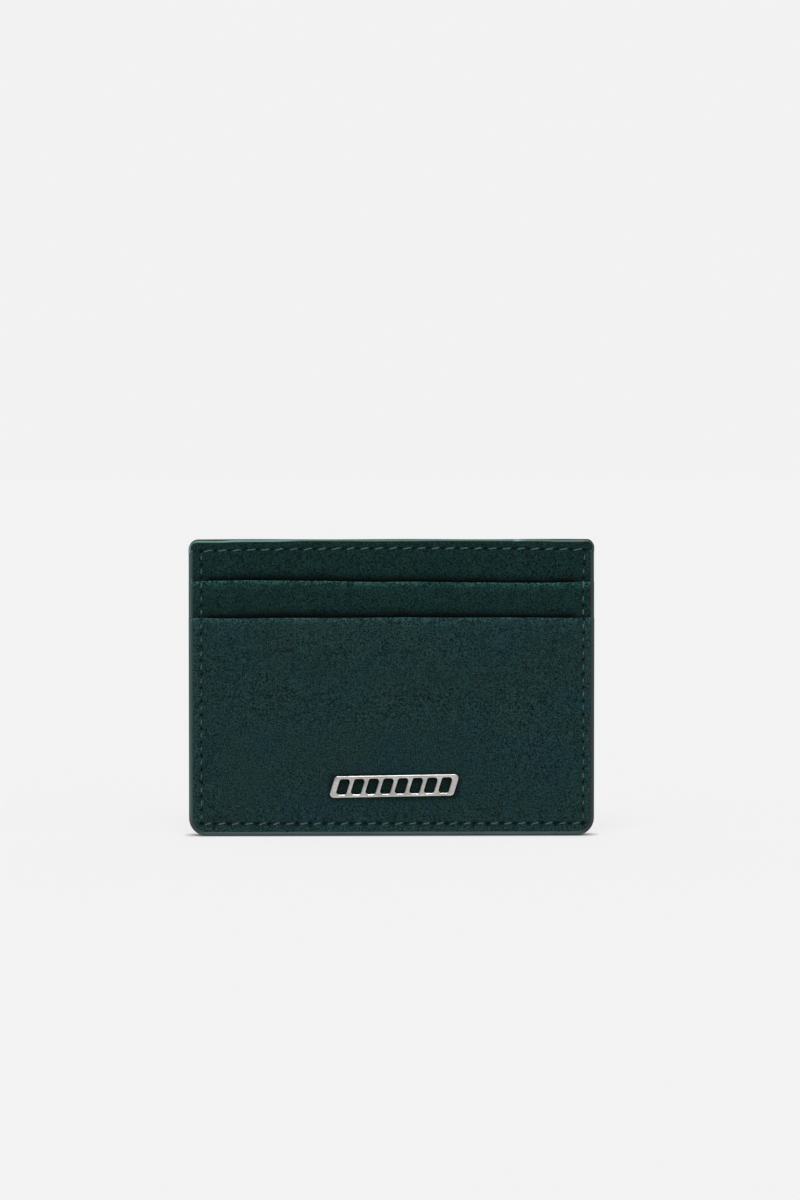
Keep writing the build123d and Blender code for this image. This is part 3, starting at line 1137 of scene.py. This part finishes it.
def top_bead_light(x, y):
    """A top bead's painted light: a painted highlight on its outer side and at the left, painted shade
    on its inner side, and paler at one nick.
    """
    left = 1 + TOP_LEFT_HIGHLIGHT * (1 - smooth(*DROOP, x))
    nick = 1 + NICK_TONE * bell(x, NICK, NICK_WIDTH)
    return (TOP_TONE + TOP_OUTER_HIGHLIGHT * smooth(*TOP_OUTER_HIGHLIGHT_ENDS, y)) * left * nick


side_top = sheet_top - top_left_radius
add_paint("edge_paint_bead", [side_section(*p) for p in around(side_top)], "edge_paint")


def top_outline(side):
    """Points from the left side over the top edge to the right side, with outward normals."""
    halves = []
    for radius in (top_left_radius, top_right_radius):
        corner, level = sheet_half - radius, sheet_top - radius
        points = [(-sheet_half, level - h * MM, -1.0, 0.0) for h in (1.0, 0.5, 0)]
        for i in range(1, 10):
            angle = pi / 2 * i / 10
            right, up = -cos(angle), sin(angle)
            points.append((-corner + radius * right, level + radius * up, right, up))
        halves.append(points + [(x, sheet_top, 0.0, 1.0) for x in np.linspace(-corner, 0, 40)])
    left, right = halves
    whole = left + [(-x, z, -nx, nz) for x, z, nx, nz in reversed(right[:-1])]
    x, z = np.array([p[0] for p in whole]), np.array([p[1] for p in whole])
    rise = smooth(0, top_right_radius, z - (sheet_top - top_right_radius))
    z = z + rise * (top_lip(side)(x) - sheet_top)
    return [(px, pz, nx, nz) for px, pz, (_, _, nx, nz) in zip(x, z, whole)]


def top_section(side, x, z, nx, nz):
    """The bead over one panel's edge, from its face to its lining."""
    inner = layer("front_lining")[0]
    outer = layer("front_panel")[1]
    pressed = press(np.array([x]), np.array([z]))[0]
    inner, outer = inner * pressed, outer * pressed
    middle, half = (inner + outer) / 2, (outer - inner) / 2
    section = []
    for inset, y in ((0.22, outer + 0.01 * MM), (0.12, outer + 0.03 * MM), (0.0, outer + 0.03 * MM)):
        section.append((x - nx * inset * MM, side * y, z - nz * inset * MM))
    for i in range(1, 10):
        angle = pi * i / 10
        y = middle + (half + 0.04 * MM) * cos(angle)
        swell = (BEAD + 0.04 * MM) * sin(angle) ** 0.7
        section.append((x + nx * swell, side * y, z + nz * swell))
    for inset, y in ((0.0, inner - 0.03 * MM), (0.3, inner - 0.02 * MM)):
        section.append((x - nx * inset * MM, side * y, z - nz * inset * MM))
    return section


for side, word in ((-1, "front"), (1, "back")):
    sections = [top_section(side, *p) for p in top_outline(side)]
    add_paint(f"{word}_top_edge_bead", sections, f"{word}_top_edge_paint")


# Emblem: the pierced bar with eased edges

EMBLEM_TILT = radians(1.0)
EMBLEM_LEAN = radians(72)
EMBLEM_DEPTH = 1.0 * MM
EMBLEM_EASE = 0.32 * MM
EMBLEM_LENGTH = 32.6 * MM
EMBLEM_HEIGHT = 5.4 * MM
EMBLEM_CORNER = 1.0 * MM
WINDOWS = 8
WINDOW_PITCH = 3.6 * MM
WINDOW_LENGTH = 2.5 * MM
WINDOW_HEIGHT = 3.7 * MM
WINDOW_CORNER = 0.6 * MM
CORNER_STEPS = 7


def leaning_bar(length, height, radius, shift=0.0):
    """The outline of a rounded bar whose ends lean to the right, anticlockwise."""
    lean = height / 2 / tan(EMBLEM_LEAN)
    corners = [
        Vector((shift + along * length / 2 + up * lean, up * height / 2))
        for along, up in ((-1, -1), (1, -1), (1, 1), (-1, 1))
    ]
    points = []
    for i, corner in enumerate(corners):
        before = (corner - corners[i - 1]).normalized()
        after = (corners[(i + 1) % 4] - corner).normalized()
        turn = before.angle(after)
        start = corner - before * radius * tan(turn / 2)
        centre = start + radius * Vector((-before.y, before.x))
        for step in range(CORNER_STEPS + 1):
            swing = Matrix.Rotation(turn * step / CORNER_STEPS, 2)
            points.append(centre + swing @ (start - centre))
    return points


curve = bpy.data.curves.new("emblem_outline", "CURVE")
curve.dimensions = "2D"
curve.fill_mode = "BOTH"
curve.extrude = EMBLEM_DEPTH / 2 - EMBLEM_EASE
curve.bevel_depth = EMBLEM_EASE
curve.bevel_resolution = 4
curve.offset = -EMBLEM_EASE
overhang = EMBLEM_HEIGHT / tan(EMBLEM_LEAN)
outlines = [leaning_bar(EMBLEM_LENGTH - overhang, EMBLEM_HEIGHT, EMBLEM_CORNER)]
for i in range(WINDOWS):
    shift = (i - (WINDOWS - 1) / 2) * WINDOW_PITCH
    outlines.append(leaning_bar(WINDOW_LENGTH, WINDOW_HEIGHT, WINDOW_CORNER, shift))
for points in outlines:
    spline = curve.splines.new("POLY")
    spline.points.add(len(points) - 1)
    for point, (x, y) in zip(spline.points, points):
        point.co = (x, y, 0, 1)
    spline.use_cyclic_u = True
drawn = bpy.data.objects.new("emblem_outline", curve)
bpy.context.scene.collection.objects.link(drawn)
bpy.context.view_layer.update()
mesh = bpy.data.meshes.new_from_object(drawn.evaluated_get(bpy.context.evaluated_depsgraph_get()))
bpy.data.objects.remove(drawn)
emblem_face = layer("front_lower_pocket")[1]
middle = (emblem_low + emblem_high) / 2
place = Matrix.Translation((middle.x, -emblem_face - EMBLEM_DEPTH / 2, middle.z))
mesh.transform(place @ Matrix.Rotation(-EMBLEM_TILT, 4, "Y") @ Matrix.Rotation(pi / 2, 4, "X"))
own(own_object("emblem_bar", mesh, METAL, weld=1e-7), "nickel", "emblem")
recolour("emblem_backing", METAL)


# Floor, light and camera

FLOOR_REACH = 3
CONTACT_WIDTH = 3 * MM


def pale_floor():
    """A floor that glows evenly, with a painted contact shadow where something stands on it: ambient
    occlusion dims its glow there.
    """
    s = Shader("pale_floor")
    s.set(Base_Color=(0.16, 0.16, 0.16, 1), Roughness=0.9, Specular_IOR_Level=0.0)
    s.set(Emission_Strength=0.757)
    contact = s.nodes.new("ShaderNodeAmbientOcclusion")
    contact.inputs["Distance"].default_value = CONTACT_WIDTH
    s.join(contact.outputs["Color"], "Emission Color")
    return s.material


floor_mesh = bpy.data.meshes.new("floor")
floor_corners = [(x * FLOOR_REACH, y * FLOOR_REACH, 0) for x, y in ((-1, -1), (1, -1), (1, 1), (-1, 1))]
floor_mesh.from_pydata(floor_corners, [], [(0, 1, 2, 3)])
floor_mesh.materials.append(pale_floor())
floor = bpy.data.objects.new("floor", floor_mesh)
bpy.context.scene.collection.objects.link(floor)

world = bpy.data.worlds.new("studio")
bpy.context.scene.world = world
world.use_nodes = True
nodes, links = world.node_tree.nodes, world.node_tree.links
sky = nodes["Background"]
sky.inputs["Color"].default_value = (0.9, 0.9, 0.9, 1)
sky.inputs["Strength"].default_value = 0.45
backdrop = nodes.new("ShaderNodeBackground")
backdrop.inputs["Color"].default_value = (0.888, 0.888, 0.888, 1)
choose = nodes.new("ShaderNodeMixShader")
links.new(nodes.new("ShaderNodeLightPath").outputs["Is Camera Ray"], choose.inputs["Fac"])
links.new(sky.outputs[0], choose.inputs[1])
links.new(backdrop.outputs[0], choose.inputs[2])
links.new(choose.outputs[0], nodes["World Output"].inputs["Surface"])


def toward(azimuth, elevation):
    """The direction to a place around the holder; azimuth 0 is in front, and grows to the right."""
    a, e = radians(azimuth), radians(elevation)
    return Vector((sin(a) * cos(e), -cos(a) * cos(e), sin(e)))


def sun(name, azimuth, elevation, strength, spread):
    """A soft distant light."""
    light = bpy.data.lights.new(name, "SUN")
    light.energy = strength
    light.angle = radians(spread)
    lamp = bpy.data.objects.new(name, light)
    lamp.rotation_euler = toward(azimuth, elevation).to_track_quat("Z", "Y").to_euler()
    bpy.context.scene.collection.objects.link(lamp)


sun("key", -6, 55, 1.5, 30)
sun("fill", 40, 30, 0.25, 60)

VIEW_HEIGHT = 296.1 * MM
VIEW_DISTANCE = 1.3
AIM_RIGHT = 2.11 * MM
AIM_UP = 21.62 * MM
SENSOR_HEIGHT = 24
camera_data = bpy.data.cameras.new("camera")
camera_data.sensor_fit = "VERTICAL"
camera_data.sensor_height = SENSOR_HEIGHT
camera_data.lens = SENSOR_HEIGHT * VIEW_DISTANCE / VIEW_HEIGHT
camera = bpy.data.objects.new("camera", camera_data)
back_off = toward(-1, 3)
camera.location = Vector((AIM_RIGHT, 0, top_z / 2 + AIM_UP)) + VIEW_DISTANCE * back_off
camera.rotation_euler = back_off.to_track_quat("Z", "Y").to_euler()
bpy.context.scene.collection.objects.link(camera)
bpy.context.scene.camera = camera
bpy.context.scene.view_settings.view_transform = "Standard"

bpy.context.view_layer.update()
